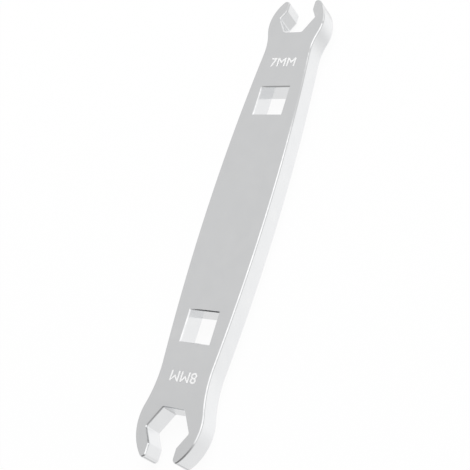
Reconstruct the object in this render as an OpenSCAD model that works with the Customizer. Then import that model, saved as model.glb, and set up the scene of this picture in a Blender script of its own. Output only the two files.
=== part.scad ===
// Open jaw wrench for the nuts of brake hoses and pipes: one milled plate with a six sided
// jaw at each end, a mouth that lets the hose into each jaw and two square drive holes.
// The plate lies on XY with its back face at Z = 0. The large jaw opens towards -Y.

/* [Nuts and hose] */
// Nut that the large jaw turns, across its flats
large_nut = 8; // [7:0.5:10]
// Nut that the small jaw turns, across its flats
small_nut = 7; // [6:0.5:9]
// Play between a jaw and its nut, across the flats
nut_play = 0.1; // [0.05:0.05:0.3]
// Hose that passes through the mouth of each jaw, its diameter
hose_d = 5.5; // [4:0.1:6]
// Play between a mouth and the hose
hose_play = 0.5; // [0.2:0.1:0.8]
// Radius in the corners of a jaw
jaw_corner_r = 0.4; // [0.2:0.1:0.8]

/* [Drive holes] */
// Square drive that fits the holes, across its flats
drive_size = 6.35; // [5:0.05:7]
// Play between a hole and the drive, across the flats
drive_play = 0.1; // [0.05:0.05:0.3]
// Distance of each drive hole from the jaw at its end
drive_reach = 20.2; // [17:0.1:30]

/* [Bar] */
// Thickness of the plate
plate_t = 5; // [3:0.5:8]
// Length over the prong tips of both jaws
length = 100; // [90:1:150]
// Width at the middle of the bar
bar_w = 14; // [13:0.5:20]
// Width that the bar's bowed sides come down to behind each jaw
neck_w = 11.1; // [9:0.1:12.4]
// Distance from a jaw's centre back to that width
neck_back = 10; // [8:0.5:12]
// Chamfer along every edge
edge_break = 0.2; // [0.1:0.05:0.4]

/* [Heads] */
// Metal beside the corner of a nut
jaw_wall = 2.35; // [2:0.05:3.5]
// Distance from a jaw's centre back to where its head is widest
crown_back = 1.4; // [0.6:0.1:2]
// Radius of the prong tips
tip_r = 0.75; // [0.5:0.05:1]
// Reach of the large jaw's prongs past the flats of the nut
large_lip = 1.6; // [1:0.05:2.5]
// Reach of the small jaw's prongs past the flats of the nut
small_lip = 0.8; // [0.5:0.05:2]
// Radius of the hollow that joins the large head to the bar
large_hollow_r = 25; // [12:0.5:30]
// Radius of the hollow that joins the small head to the bar
small_hollow_r = 13; // [8:0.5:20]

/* [Hidden] */
$fn = 96;
// Facets of the long bowed sides, which are arcs of very large circles
bow_facets = 1440;
// How far a cutter runs past the face that it cuts
past = 1;
// How deep arcs that blend reach into each other, which leaves a corner too faint to see
blend = 0.01;
mouth_w = hose_d + hose_play;
drive_hole = drive_size + drive_play;
ends = ["large", "small"];

// Each end's own sizes, seen with its jaw's centre at the origin and its mouth towards +Y
function jaw_af(end) = (end == "large" ? large_nut : small_nut) + nut_play;
function hollow_r(end) = end == "large" ? large_hollow_r : small_hollow_r;
function tip_reach(end) = jaw_af(end) / 2 + (end == "large" ? large_lip : small_lip);
function head_half(end) = jaw_af(end) / sqrt(3) + jaw_wall;

// The jaws' centres, and the distance between them
large_y = tip_reach("large") - length / 2;
small_y = length / 2 - tip_reach("small");
jaw_span = small_y - large_y;

// The bar's bowed sides are arcs that are widest half way between the jaws
bow_run = jaw_span / 2 - neck_back;
bow_sag = (bar_w - neck_w) / 2;
bow_r = (bow_run * bow_run + bow_sag * bow_sag) / (2 * bow_sag);
bow_x = bar_w / 2 - bow_r;
bow_centre = [bow_x, -jaw_span / 2];

// A prong's round tip touches the mouth's wall and ends the prong
function tip_centre(end) = [mouth_w / 2 + tip_r, tip_reach(end) - tip_r];

// A head's side is one arc, widest behind the jaw, that runs forward to touch the tip from outside
function head_rise(end) = crown_back + tip_centre(end)[1];
function head_inset(end) = head_half(end) - tip_centre(end)[0];
function head_r(end) = (pow(head_rise(end), 2) + pow(head_inset(end), 2) - pow(tip_r, 2))
    / (2 * (head_inset(end) - tip_r));
function head_centre(end) = [head_half(end) - head_r(end), -crown_back];

// The hollow at the neck blends into the bowed side and the head's side, and lies outside both
function hollow_centre(end) = crossing(
    bow_centre, bow_r + hollow_r(end) - blend,
    head_centre(end), head_r(end) + hollow_r(end) - blend);

// Where two circles cross, on the right hand of the way from the first centre to the second
function crossing(a, ra, b, rb) =
    let (gap = norm(b - a), along = (gap * gap + ra * ra - rb * rb) / (2 * gap))
    let (way = (b - a) / gap, aside = sqrt(ra * ra - along * along))
    a + along * way + aside * [way[1], -way[0]];

function toward(a, b) = (b - a) / norm(b - a);

// Sets a piece that is drawn with its jaw's centre at the origin at its own end of the bar
module at_end(end) {
    turn = end == "large" ? 180 : 0;
    y = end == "large" ? large_y : small_y;
    translate([0, y, 0]) rotate(turn) children();
}

// Both sides of the bar's centre line
module both_sides() {
    children();
    mirror([1, 0, 0]) children();
}

// A round plate of radius r with both edges broken
module round_plate(r, facets = $fn) {
    rotate_extrude($fn = facets)
        polygon([[0, 0], [r - edge_break, 0], [r, edge_break], [r, plate_t - edge_break],
            [r - edge_break, plate_t], [0, plate_t]]);
}

// What two round plates share, from y0 to y1, with their centres at c and its mirror image
module lens(c, r, y0, y1, facets = $fn) {
    wide = 2 * (c[0] + r + past);
    intersection() {
        translate([c[0], c[1], 0]) round_plate(r, facets);
        translate([-c[0], c[1], 0]) rotate(180) round_plate(r, facets);
        translate([-wide / 2, y0, -past]) cube([wide, y1 - y0, plate_t + 2 * past]);
    }
}

// One side of a cutter's section at half width h, flared at both faces to break their edges
function flare(h) = [[h + edge_break + past, -past], [h, edge_break],
    [h, plate_t - edge_break], [h + edge_break + past, plate_t + past]];

// A round cutter of radius r that breaks the edges of what it cuts
module round_cut(r) {
    rotate_extrude() polygon(concat([[0, -past]], flare(r), [[0, plate_t + past]]));
}

// A straight cutter of width w, from y0 to y1, that breaks the edges of what it cuts
module straight_cut(w, y0, y1) {
    right = flare(w / 2);
    left = [for (i = [len(right) - 1:-1:0]) [-right[i][0], right[i][1]]];
    translate([0, y1, 0]) rotate([90, 0, 0]) linear_extrude(y1 - y0) polygon(concat(right, left));
}

// A square cutter of width w, with sharp corners: what two straight cutters share
module square_cut(w) {
    intersection_for (turn = [0, 90]) rotate(turn) straight_cut(w, -w, w);
}

// A cutter of n equal sides, across its flats, with round corners and a flat towards -Y
module flats_cut(n, across, corner_r) {
    reach = across / 2 - corner_r;
    side = 2 * reach * tan(180 / n);
    for (i = [0:n / 2 - 1]) rotate(90 + i * 360 / n) straight_cut(across, -side / 2, side / 2);
    for (i = [0:n - 1])
        rotate((i + 0.5) * 360 / n) translate([0, reach / cos(180 / n), 0]) round_cut(corner_r);
}

// The bar, from inside one head to inside the other
module bar() {
    inside = jaw_span / 2 - (crown_back + neck_back) / 2;
    translate([0, (large_y + small_y) / 2, 0]) lens([bow_x, 0], bow_r, -inside, inside, bow_facets);
}

// A head before its jaw is cut
module head(end) {
    lens(head_centre(end), head_r(end), -neck_back, tip_reach(end) + past);
}

// The metal that fills the corner between a head and the bar, down to the hollow at the neck
module neck_fill(end) {
    c = hollow_centre(end);
    depth = hollow_r(end) + jaw_wall;
    translate([c[0], c[1], 0]) difference() {
        linear_extrude(plate_t)
            polygon([[0, 0], depth * toward(c, bow_centre), depth * toward(c, head_centre(end))]);
        round_cut(hollow_r(end));
    }
}

// What is cut away outside a prong's round tip
module tip_cut(end) {
    c = tip_centre(end);
    reach = tip_r + 2 * past;
    out = reach * toward(head_centre(end), c);
    translate([c[0], c[1], 0]) difference() {
        translate([0, 0, -past]) linear_extrude(plate_t + 2 * past)
            polygon([[0, 0], out, [out[0], reach], [-reach, reach], [-reach, 0]]);
        round_plate(tip_r + blend);
    }
}

// What a jaw takes from its head: six flats for the nut, the mouth and the corners of both prongs
module jaw_cut(end) {
    flats_cut(n = 6, across = jaw_af(end), corner_r = jaw_corner_r);
    straight_cut(mouth_w, 0, tip_reach(end) + 2 * past);
    both_sides() tip_cut(end);
}

// The whole plate
module wrench_body() {
    color("silver") difference() {
        union() {
            bar();
            for (end = ends) at_end(end) {
                head(end);
                both_sides() neck_fill(end);
            }
        }
        for (end = ends) at_end(end) {
            jaw_cut(end);
            translate([0, -drive_reach, 0]) square_cut(drive_hole);
        }
    }
}

wrench_body();
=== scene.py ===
import math

import bmesh
import bpy
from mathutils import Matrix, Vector
from mathutils.geometry import intersect_sphere_sphere_2d


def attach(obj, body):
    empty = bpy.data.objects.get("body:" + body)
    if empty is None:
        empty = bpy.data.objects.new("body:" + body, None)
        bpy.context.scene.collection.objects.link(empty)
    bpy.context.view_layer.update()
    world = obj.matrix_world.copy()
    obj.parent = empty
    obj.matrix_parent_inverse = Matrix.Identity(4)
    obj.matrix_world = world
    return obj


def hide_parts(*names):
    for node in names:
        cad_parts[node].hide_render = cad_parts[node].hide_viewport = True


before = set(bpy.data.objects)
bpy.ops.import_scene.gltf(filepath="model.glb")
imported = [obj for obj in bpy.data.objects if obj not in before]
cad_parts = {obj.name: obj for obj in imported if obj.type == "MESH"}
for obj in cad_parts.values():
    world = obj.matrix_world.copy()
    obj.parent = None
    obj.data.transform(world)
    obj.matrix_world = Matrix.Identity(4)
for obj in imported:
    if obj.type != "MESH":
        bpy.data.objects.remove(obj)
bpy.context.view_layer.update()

# Wrench body
# One plate of aluminium, milled to its outline with a six sided jaw and a hose mouth at each end,
# and broached with two square drive holes. Every edge is broken by a small chamfer.
mm = 0.001
plate_thickness = 5 * mm
overall_length = 100 * mm
bar_width = 14 * mm
neck_width = 11.1 * mm
neck_back = 10 * mm
mouth_width = 6 * mm
jaw_corner_radius = 0.4 * mm
jaw_wall = 2.35 * mm
crown_back = 1.4 * mm
tip_radius = 0.75 * mm
drive_width = 6.45 * mm
drive_reach = 20.2 * mm
large_jaw = {"flats": 8.1 * mm, "lip": 1.6 * mm, "hollow": 25 * mm, "way": -1}
small_jaw = {"flats": 7.1 * mm, "lip": 0.8 * mm, "hollow": 13 * mm, "way": 1}
for jaw in (large_jaw, small_jaw):
    jaw["reach"] = jaw["flats"] / 2 + jaw["lip"]
    jaw["y"] = jaw["way"] * (overall_length / 2 - jaw["reach"])
jaw_span = small_jaw["y"] - large_jaw["y"]
bow_run = jaw_span / 2 - neck_back
bow_sag = (bar_width - neck_width) / 2
bow_radius = (bow_run**2 + bow_sag**2) / (2 * bow_sag)

# The outline is drawn in quarters, from the floor of a jaw to the widest point of the bar.
# Straight runs are extruded from the last point and arcs are spun from it.
flat_turn = 60
half_circle = 180
corner_steps = 8
tip_steps = 16
head_steps = 24
hollow_steps = 16
bow_steps = 24
touching = 0.001 * mm


def at_angle(centre, radius, degrees):
    angle = math.radians(degrees)
    return Vector(centre) + radius * Vector((math.cos(angle), math.sin(angle)))


def angle_to(centre, point):
    return math.degrees(math.atan2(point[1] - centre[1], point[0] - centre[0]))


def draw_quarter(jaw):
    """Draws a quarter of the outline with the jaw's centre at the origin and its mouth up."""
    apothem = jaw["flats"] / 2
    half_turn = flat_turn / 2
    corner_half = jaw["flats"] / math.sqrt(3)
    corner_reach = (apothem - jaw_corner_radius) / math.cos(math.radians(half_turn))
    floor_corner = at_angle((0, 0), corner_reach, -flat_turn)
    side_corner = at_angle((0, 0), corner_reach, 0)
    mouth_corner = Vector((mouth_width / 2, (corner_half - mouth_width / 2) * math.sqrt(3)))
    tip = Vector((mouth_width / 2 + tip_radius, jaw["reach"] - tip_radius))
    head_half = corner_half + jaw_wall
    rise = crown_back + tip.y
    inset = head_half - tip.x
    head_radius = (rise**2 + inset**2 - tip_radius**2) / (2 * (inset - tip_radius))
    head = Vector((head_half - head_radius, -crown_back))
    bow = Vector((bar_width / 2 - bow_radius, -jaw_span / 2))
    crossings = intersect_sphere_sphere_2d(
        bow, bow_radius + jaw["hollow"], head, head_radius + jaw["hollow"])
    hollow = max(crossings, key=lambda point: point.x)
    tip_end = angle_to(head, tip)
    head_end = angle_to(head, hollow)
    bow_start = angle_to(bow, hollow)
    # Each stroke has its centre, its radius, its first and last angle and its steps.
    strokes = (
        (floor_corner, jaw_corner_radius, -flat_turn - half_turn, half_turn - flat_turn, corner_steps),
        (side_corner, jaw_corner_radius, -half_turn, half_turn, corner_steps),
        (mouth_corner, 0, 0, 0, 0),
        (tip, tip_radius, half_circle, tip_end, tip_steps),
        (head, head_radius, tip_end, head_end, head_steps),
        (hollow, jaw["hollow"], head_end + half_circle, bow_start + half_circle, hollow_steps),
        (bow, bow_radius, bow_start, 0, bow_steps),
    )

    def on_plate(point):
        return Vector((point[0], jaw["y"] + jaw["way"] * point[1], 0))

    pen = on_plate((0, -apothem))
    bpy.ops.mesh.select_all(action="DESELECT")
    bpy.ops.mesh.primitive_plane_add(size=mm, location=pen)
    bpy.ops.mesh.merge(type="CENTER")
    for centre, radius, start, stop, steps in strokes:
        arc_start = on_plate(at_angle(centre, radius, start))
        if (arc_start - pen).length > touching:
            bpy.ops.mesh.extrude_region_move(TRANSFORM_OT_translate={"value": arc_start - pen})
        if steps:
            sweep = math.radians(start - stop) * jaw["way"]
            bpy.ops.mesh.spin(steps=steps, angle=sweep, center=on_plate(centre), axis=(0, 0, 1))
        pen = on_plate(at_angle(centre, radius, stop))


bpy.ops.object.select_all(action="DESELECT")
bpy.ops.mesh.primitive_plane_add(size=mm)
body = bpy.context.object
body.name = "wrench_plate"
bpy.ops.object.mode_set(mode="EDIT")
bpy.ops.mesh.select_all(action="SELECT")
bpy.ops.mesh.delete(type="VERT")
draw_quarter(large_jaw)
draw_quarter(small_jaw)
bpy.ops.object.mode_set(mode="OBJECT")
mirror = body.modifiers.new("other_side", "MIRROR")
mirror.merge_threshold = touching
bpy.ops.object.modifier_apply(modifier=mirror.name)
bpy.ops.object.mode_set(mode="EDIT")
bpy.ops.mesh.select_all(action="SELECT")
bpy.ops.mesh.remove_doubles(threshold=touching)
for jaw in (large_jaw, small_jaw):
    drive_place = (0, jaw["y"] - jaw["way"] * drive_reach, 0)
    bpy.ops.mesh.primitive_plane_add(size=drive_width, location=drive_place)
    bpy.ops.mesh.delete(type="ONLY_FACE")
bpy.ops.mesh.select_all(action="SELECT")
bpy.ops.mesh.fill(use_beauty=True)

# The outline is raised to a plate. Every edge is broken by a narrow chamfer that is deeper than it is
# wide, and outside the drive holes a finer flat leads from the chamfer into the wall.
drive_break = 0.18 * mm
drive_break_depths = (0.2825 * mm,)
edge_break = 0.19 * mm
edge_break_depths = (0.265 * mm, 0.402 * mm)
edge_fullness = 0.65
lying_flat = 0.5
crease = math.radians(10)
bpy.ops.mesh.extrude_region_move(TRANSFORM_OT_translate={"value": (0, 0, plate_thickness)})
bpy.ops.mesh.select_all(action="SELECT")
bpy.ops.mesh.normals_make_consistent(inside=False)


def on_rim(edge):
    """True for an edge between a wall and the front or back face."""
    return len({abs(face.normal.z) > lying_flat for face in edge.link_faces}) == 2


def on_drive_hole(point):
    """True for a point on the edge of a drive hole, before or after it is broken."""
    jaw_places = (large_jaw["y"], small_jaw["y"])
    clear_of_jaws = min(abs(point.y - place) for place in jaw_places) > drive_reach / 2
    return clear_of_jaws and abs(point.x) < drive_width / 2 + drive_break + touching


def break_edges(of_drive_holes, width, depths):
    """Chamfers the edges of the drive holes, or all others, with one flat down to each depth."""
    bpy.ops.mesh.select_all(action="DESELECT")
    shell = bmesh.from_edit_mesh(body.data)
    for edge in shell.edges:
        if on_rim(edge) and on_drive_hole(edge.verts[0].co) == of_drive_holes:
            edge.select_set(True)
    bmesh.update_edit_mesh(body.data)
    bpy.ops.mesh.bevel(
        offset=width, segments=len(depths), profile=edge_fullness,
        clamp_overlap=False, loop_slide=False)
    shell = bmesh.from_edit_mesh(body.data)
    for vert in shell.verts:
        near_face = 0 if vert.co.z < plate_thickness / 2 else plate_thickness
        depth = abs(vert.co.z - near_face)
        if depth > touching and on_drive_hole(vert.co) == of_drive_holes:
            new_depth = depths[-1] if depth > width - touching else depths[0]
            vert.co.z = abs(near_face - new_depth)
    bmesh.update_edit_mesh(body.data)


break_edges(True, drive_break, drive_break_depths)
break_edges(False, edge_break, edge_break_depths)
bpy.ops.object.mode_set(mode="OBJECT")
bpy.ops.object.shade_smooth_by_angle(angle=crease)
bpy.ops.object.transform_apply(location=True, rotation=True, scale=True)

# The metal is blasted to a fine even grain and silver anodised. Its walls keep faint upright lines
# from the milling cutter, and its broken edges are rubbed a little brighter and smoother by use.
bare_metal = 1.0
grains_per_metre = 9000
clouds_per_metre = 320
lines_per_metre = 2600
line_stretch = 0.04
rubs_per_metre = 1100
texture_depth = 0.006 * mm
grain_strength = 0.3
line_strength = 0.3
dull_silver = (0.862, 0.869, 0.878, 1)
clear_silver = (0.884, 0.890, 0.897, 1)
rubbed_silver = (0.925, 0.928, 0.931, 1)
dull_at = 0.3
clear_at = 0.7
rubbed_at = 1.0
fine_roughness = 0.12
coarse_roughness = 0.20
rubbed_roughness = 0.10
steepest_wall = 0.1
flattest_wall = 0.3
slope_level = math.sin(math.radians(45))
slope_spread = 0.25
rub_from = 0.42
rub_to = 0.58
metal = bpy.data.materials.new("anodised_aluminium")
metal.use_nodes = True
nodes = metal.node_tree.nodes
links = metal.node_tree.links
shader = nodes["Principled BSDF"]
shader.inputs["Metallic"].default_value = bare_metal
place = nodes.new("ShaderNodeTexCoord")
upright = nodes.new("ShaderNodeMapping")
upright.inputs["Scale"].default_value = (1, 1, line_stretch)
links.new(place.outputs["Object"], upright.inputs["Vector"])


def metal_noise(per_metre, source):
    noise = nodes.new("ShaderNodeTexNoise")
    noise.inputs["Scale"].default_value = per_metre
    links.new(source, noise.inputs["Vector"])
    return noise.outputs["Fac"]


grain = metal_noise(grains_per_metre, place.outputs["Object"])
clouds = metal_noise(clouds_per_metre, place.outputs["Object"])
lines = metal_noise(lines_per_metre, upright.outputs["Vector"])
rubs = metal_noise(rubs_per_metre, place.outputs["Object"])

# How steep the surface is tells the walls from the faces, and the broken edges from both.
surface = nodes.new("ShaderNodeNewGeometry")
tilt = nodes.new("ShaderNodeSeparateXYZ")
flatness = nodes.new("ShaderNodeMath")
flatness.operation = "ABSOLUTE"
on_wall = nodes.new("ShaderNodeMapRange")
on_wall.inputs["From Min"].default_value = flattest_wall
on_wall.inputs["From Max"].default_value = steepest_wall
on_slope = nodes.new("ShaderNodeMath")
on_slope.operation = "COMPARE"
on_slope.inputs[1].default_value = slope_level
on_slope.inputs[2].default_value = slope_spread
worn = nodes.new("ShaderNodeMapRange")
worn.inputs["From Min"].default_value = rub_from
worn.inputs["From Max"].default_value = rub_to
rubbed = nodes.new("ShaderNodeMath")
rubbed.operation = "MULTIPLY"
links.new(surface.outputs["Normal"], tilt.inputs["Vector"])
links.new(tilt.outputs["Z"], flatness.inputs[0])
links.new(flatness.outputs["Value"], on_wall.inputs["Value"])
links.new(flatness.outputs["Value"], on_slope.inputs[0])
links.new(rubs, worn.inputs["Value"])
links.new(on_slope.outputs["Value"], rubbed.inputs[0])
links.new(worn.outputs["Result"], rubbed.inputs[1])

# The tone drifts between dull and clear silver, and goes to the brightest where an edge is rubbed.
shade = nodes.new("ShaderNodeMix")
shade.inputs["B"].default_value = rubbed_at
silver = nodes.new("ShaderNodeValToRGB")
silver.color_ramp.elements[0].position = dull_at
silver.color_ramp.elements[0].color = dull_silver
silver.color_ramp.elements[1].position = rubbed_at
silver.color_ramp.elements[1].color = rubbed_silver
silver.color_ramp.elements.new(clear_at).color = clear_silver
links.new(rubbed.outputs["Value"], shade.inputs["Factor"])
links.new(clouds, shade.inputs["A"])
links.new(shade.outputs["Result"], silver.inputs["Fac"])
links.new(silver.outputs["Color"], shader.inputs["Base Color"])

# The blasted grain makes the gloss uneven, and rubbing evens it out.
matt = nodes.new("ShaderNodeMapRange")
matt.inputs["To Min"].default_value = fine_roughness
matt.inputs["To Max"].default_value = coarse_roughness
gloss = nodes.new("ShaderNodeMix")
gloss.inputs["B"].default_value = rubbed_roughness
links.new(grain, matt.inputs["Value"])
links.new(rubbed.outputs["Value"], gloss.inputs["Factor"])
links.new(matt.outputs["Result"], gloss.inputs["A"])
links.new(gloss.outputs["Result"], shader.inputs["Roughness"])

# The milling lines lie on the walls alone, and the grain lies over everything.
milled = nodes.new("ShaderNodeMath")
milled.operation = "MULTIPLY"
milled_bump = nodes.new("ShaderNodeBump")
milled_bump.inputs["Strength"].default_value = line_strength
milled_bump.inputs["Distance"].default_value = texture_depth
blasted_bump = nodes.new("ShaderNodeBump")
blasted_bump.inputs["Strength"].default_value = grain_strength
blasted_bump.inputs["Distance"].default_value = texture_depth
links.new(lines, milled.inputs[0])
links.new(on_wall.outputs["Result"], milled.inputs[1])
links.new(milled.outputs["Value"], milled_bump.inputs["Height"])
links.new(grain, blasted_bump.inputs["Height"])
links.new(milled_bump.outputs["Normal"], blasted_bump.inputs["Normal"])
links.new(blasted_bump.outputs["Normal"], shader.inputs["Normal"])
body.data.materials.append(metal)
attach(body, "root")
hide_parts("wrench_body")

# Size marks
# The nut sizes stand beside the jaws, each to be read with its jaw held away from the reader.
# They are burnt white into the anodised face by a laser, so they have hardly any thickness.
mark_size = 2.95 * mm
mark_bold = 0.012
mark_rise = 0.02 * mm
small_mark_back = 11.1 * mm
large_mark_back = 10.15 * mm
marks = (
    ("size_mark_small", "7MM", small_jaw, small_mark_back, 0),
    ("size_mark_large", "8MM", large_jaw, large_mark_back, half_circle),
)
chalk_roughness = 0.75
specks_per_metre = 14000
frost_depth = 0.01 * mm
speck_dark = (0.80, 0.80, 0.80, 1)
speck_light = (0.95, 0.95, 0.95, 1)
speck_dark_at = 0.3
speck_light_at = 0.6
chalk = bpy.data.materials.new("laser_white")
chalk.use_nodes = True
nodes = chalk.node_tree.nodes
links = chalk.node_tree.links
shader = nodes["Principled BSDF"]
shader.inputs["Roughness"].default_value = chalk_roughness
place = nodes.new("ShaderNodeTexCoord")
specks = nodes.new("ShaderNodeTexNoise")
specks.inputs["Scale"].default_value = specks_per_metre
white = nodes.new("ShaderNodeValToRGB")
white.color_ramp.elements[0].position = speck_dark_at
white.color_ramp.elements[0].color = speck_dark
white.color_ramp.elements[1].position = speck_light_at
white.color_ramp.elements[1].color = speck_light
frost = nodes.new("ShaderNodeBump")
frost.inputs["Distance"].default_value = frost_depth
links.new(place.outputs["Object"], specks.inputs["Vector"])
links.new(specks.outputs["Fac"], white.inputs["Fac"])
links.new(white.outputs["Color"], shader.inputs["Base Color"])
links.new(specks.outputs["Fac"], frost.inputs["Height"])
links.new(frost.outputs["Normal"], shader.inputs["Normal"])

for name, words, jaw, mark_back, mark_turn in marks:
    bpy.ops.object.select_all(action="DESELECT")
    bpy.ops.object.text_add()
    mark = bpy.context.object
    mark.name = name
    mark.data.body = words
    mark.data.bevel_depth = mark_bold
    mark.data.bevel_resolution = 0
    bpy.ops.object.convert(target="MESH")
    bpy.ops.object.origin_set(type="ORIGIN_GEOMETRY", center="BOUNDS")
    mark.scale = (mark_size, mark_size, mark_rise / mark_bold)
    mark.rotation_euler.z = math.radians(mark_turn)
    mark_y = jaw["y"] - jaw["way"] * mark_back
    mark.location = (0, mark_y, plate_thickness)
    bpy.ops.object.transform_apply(location=True, rotation=True, scale=True)
    mark.data.materials.append(chalk)
    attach(mark, "root")

# Floor
# A plain white table top that the wrench lies on. The camera sees it white, with the soft shadow
# of the wrench, and the metal mirrors the pale room through it.
floor_size = 4.0
floor_drop = 0.02 * mm
floor_white = (0.9, 0.9, 0.9, 1)
glow_white = (1, 1, 1, 1)
glow_strength = 1.0
glow_share = 0.94
bpy.ops.object.select_all(action="DESELECT")
bpy.ops.mesh.primitive_plane_add(size=floor_size, location=(0, 0, -floor_drop))
floor = bpy.context.object
floor.name = "floor"
bpy.ops.object.transform_apply(location=True, rotation=True, scale=True)
paint = bpy.data.materials.new("white_table")
paint.use_nodes = True
nodes = paint.node_tree.nodes
links = paint.node_tree.links
nodes.clear()
out = nodes.new("ShaderNodeOutputMaterial")
lit = nodes.new("ShaderNodeBsdfDiffuse")
lit.inputs["Color"].default_value = floor_white
glow = nodes.new("ShaderNodeEmission")
glow.inputs["Color"].default_value = glow_white
glow.inputs["Strength"].default_value = glow_strength
clear = nodes.new("ShaderNodeBsdfTransparent")
seen = nodes.new("ShaderNodeMixShader")
seen.inputs["Fac"].default_value = glow_share
path = nodes.new("ShaderNodeLightPath")
looked_at = nodes.new("ShaderNodeMath")
looked_at.operation = "MAXIMUM"
shown = nodes.new("ShaderNodeMixShader")
passed_by = nodes.new("ShaderNodeMath")
passed_by.operation = "MAXIMUM"
through = nodes.new("ShaderNodeMixShader")
links.new(path.outputs["Is Camera Ray"], looked_at.inputs[0])
links.new(path.outputs["Is Transmission Ray"], looked_at.inputs[1])
links.new(lit.outputs["BSDF"], seen.inputs[1])
links.new(glow.outputs["Emission"], seen.inputs[2])
links.new(looked_at.outputs["Value"], shown.inputs["Fac"])
links.new(lit.outputs["BSDF"], shown.inputs[1])
links.new(seen.outputs["Shader"], shown.inputs[2])
links.new(path.outputs["Is Glossy Ray"], passed_by.inputs[0])
links.new(path.outputs["Is Shadow Ray"], passed_by.inputs[1])
links.new(passed_by.outputs["Value"], through.inputs["Fac"])
links.new(shown.outputs["Shader"], through.inputs[1])
links.new(clear.outputs["BSDF"], through.inputs[2])
links.new(through.outputs["Shader"], out.inputs["Surface"])
floor.data.materials.append(paint)

# Light
# A plain studio, which the metal mirrors: a pale room over a white table that dims towards its edges.
# Low soft strips at the right and the far end draw the broken edges white, and the dark near edge of
# the table draws them dark. A soft lamp above lights the table and the marks.
room_light = 0.672
table_light = 1.0
backdrop_light = 1.0
skyline = 0.04

# Each fade has its name, the way it faces, the levels along that way where it starts and ends, and
# the light that it ends at. A dim end has the light that it starts at instead.
room_fades = (
    ("near_half", (0, -1, 0), -0.24, -0.12, 0.622),
    ("low_near_wall", (0.05, -0.3, -0.953), 0.03, 0.165, 0.22),
)
table_dim_ends = (
    ("near_end", (0, 1, 0), -0.3, 0.3, 0.86),
    ("left_end", (1, 0, 0), -0.3, 0.15, 0.83),
)
table_fades = (
    ("right_edge", (0.78, 0, 0.62), -0.11, 0.25, 0.66),
    ("far_right_corner", (0.45, 0.45, 0.77), -0.2, 0.6, 0.55),
    ("far_edge", (0, 0.342, 0.94), -0.12, 0.04, 0.66),
    ("near_edge", (-0.05, -0.4, 0.915), 0.05, 0.18, 0.22),
    ("near_patch", (-0.15, -0.6, -0.786), 0.965, 0.995, 0.6),
    ("left_patch", (-0.57, -0.2, -0.797), 0.985, 0.998, 0.785),
)
world = bpy.data.worlds.new("studio")
bpy.context.scene.world = world
world.use_nodes = True
nodes = world.node_tree.nodes
links = world.node_tree.links
way = nodes.new("ShaderNodeTexCoord")


def even_light(light):
    value = nodes.new("ShaderNodeValue")
    value.outputs["Value"].default_value = light
    return value.outputs["Value"]


def fade(name, toward, level_from, level_to, light_from=0, light_to=1):
    """Goes smoothly from one light to another between two levels along a direction."""
    along = nodes.new("ShaderNodeVectorMath")
    along.operation = "DOT_PRODUCT"
    along.inputs[1].default_value = toward
    change = nodes.new("ShaderNodeMapRange")
    change.label = name
    change.interpolation_type = "SMOOTHSTEP"
    change.inputs["From Min"].default_value = level_from
    change.inputs["From Max"].default_value = level_to
    change.inputs["To Min"].default_value = light_from
    change.inputs["To Max"].default_value = light_to
    links.new(way.outputs["Generated"], along.inputs[0])
    links.new(along.outputs["Value"], change.inputs["Value"])
    return change.outputs["Result"]


def fade_into(light, share, light_past):
    """Fades a light into an even one."""
    mix = nodes.new("ShaderNodeMix")
    mix.inputs["B"].default_value = light_past
    links.new(share, mix.inputs["Factor"])
    links.new(light, mix.inputs["A"])
    return mix.outputs["Result"]


table = even_light(table_light)
for name, toward, level_from, level_to, dimmest in table_dim_ends:
    dimmer = nodes.new("ShaderNodeMath")
    dimmer.operation = "MINIMUM"
    links.new(table, dimmer.inputs[0])
    links.new(fade(name, toward, level_from, level_to, dimmest, table_light), dimmer.inputs[1])
    table = dimmer.outputs["Value"]
for name, toward, level_from, level_to, light_past in table_fades:
    table = fade_into(table, fade(name, toward, level_from, level_to), light_past)
room = even_light(room_light)
for name, toward, level_from, level_to, light_past in room_fades:
    room = fade_into(room, fade(name, toward, level_from, level_to), light_past)
studio = nodes.new("ShaderNodeMix")
links.new(fade("skyline", (0, 0, 1), -skyline, skyline), studio.inputs["Factor"])
links.new(table, studio.inputs["A"])
links.new(room, studio.inputs["B"])
path = nodes.new("ShaderNodeLightPath")
backdrop = fade_into(studio.outputs["Result"], path.outputs["Is Camera Ray"], backdrop_light)
links.new(backdrop, nodes["Background"].inputs["Strength"])
nodes["Background"].inputs["Color"].default_value = glow_white

# Each lamp has its name, the way to it, its distance, width, height and power, and whether the metal
# mirrors it.
lamps = (
    ("right_strip", (0.9910, 0.0832, 0.1045), 0.5, 0.5, 0.176, 0.124, True),
    ("far_strip", (0.5056, 0.8584, -0.0872), 0.5, 0.394, 0.158, 0.0465, True),
    ("table_lamp", (0, 0.6, 0.8), 0.8, 0.5, 0.5, 3.7, False),
)
for name, toward, distance, width, height, power, mirrored in lamps:
    away = Vector(toward).normalized()
    aim = away.to_track_quat("Z", "Y").to_euler()
    bpy.ops.object.light_add(type="AREA", location=away * distance, rotation=aim)
    lamp = bpy.context.object
    lamp.name = name
    lamp.data.shape = "RECTANGLE"
    lamp.data.size = width
    lamp.data.size_y = height
    lamp.data.energy = power
    lamp.visible_glossy = mirrored

# Camera
# It looks down at the marked face from the right of the large jaw, through a long lens. Its place and
# its turn were fitted to the corners of the jaws and of the drive holes in the picture.
lens = 85
sensor = 36
nearest = 0.01
camera_place = (0.11604, -0.078051, 0.169707)
camera_turn = (29.664, 27.418, 18.494)
camera_angles = [math.radians(angle) for angle in camera_turn]
bpy.ops.object.camera_add(location=camera_place, rotation=camera_angles)
camera = bpy.context.object
camera.data.lens = lens
camera.data.sensor_width = sensor
camera.data.clip_start = nearest
bpy.context.scene.camera = camera
bpy.context.scene.view_settings.view_transform = "Standard"
